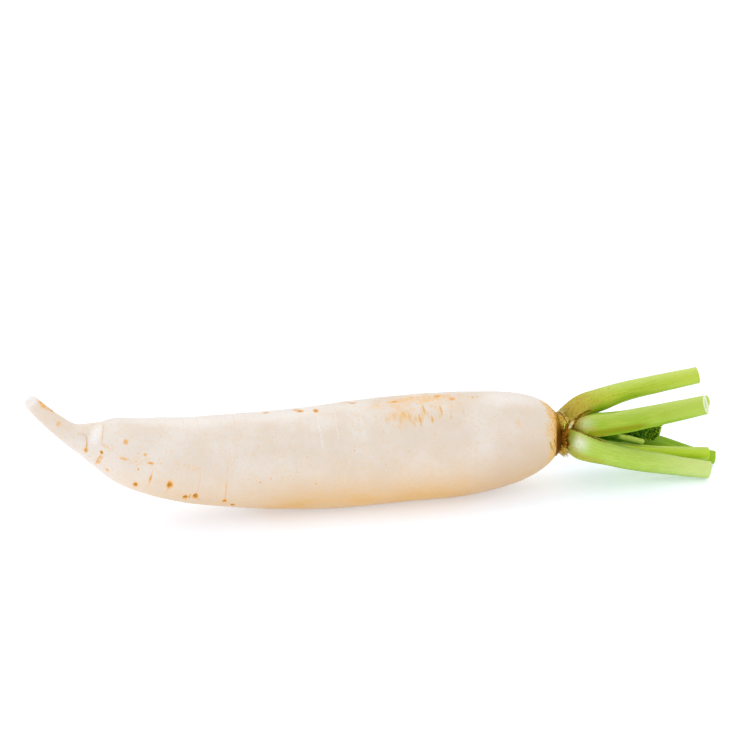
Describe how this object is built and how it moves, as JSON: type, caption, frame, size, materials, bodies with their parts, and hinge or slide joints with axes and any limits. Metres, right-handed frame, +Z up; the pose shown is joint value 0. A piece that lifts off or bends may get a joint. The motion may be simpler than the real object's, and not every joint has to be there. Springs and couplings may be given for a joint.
{
  "type": "daikon radish",
  "caption": "Long white radish with an upturned broken tail, a brown collar of dry leaf bases and green leaf stalks cut short, lying on its side.",
  "frame": {"origin": "under the middle of the whole plant, on the surface it lies on", "axes": "+X along the root from its tail to its crown and leaf stalks, +Z up as it lies, +Y towards its back"},
  "size_m": [0.4202, 0.0684, 0.0792],
  "materials": {
    "root_skin": "smooth moist skin, cream white with tan stains",
    "dry_leaf_base": "dry and fibrous, dark brown to tan",
    "leaf_stalk": "smooth fresh skin with fine ribs, yellow green",
    "young_stalk": "smooth fresh skin, pale green",
    "leaf_blade": "matt leaf with pale veins, dark green"
  },
  "bodies": {
    "root": {"root": "root_skin", "leaf_base_collar": "dry_leaf_base", "leaf_stalk_top": "leaf_stalk", "leaf_stalk_front_middle": "leaf_stalk", "leaf_stalk_front_low": "leaf_stalk", "leaf_stalk_back_high": "leaf_stalk", "leaf_stalk_back_low": "leaf_stalk", "leaf_stalk_inner_low": "leaf_stalk", "leaf_stalk_young": "young_stalk", "leaf_blade_scrap": "leaf_blade"}
  },
  "joints": []
}
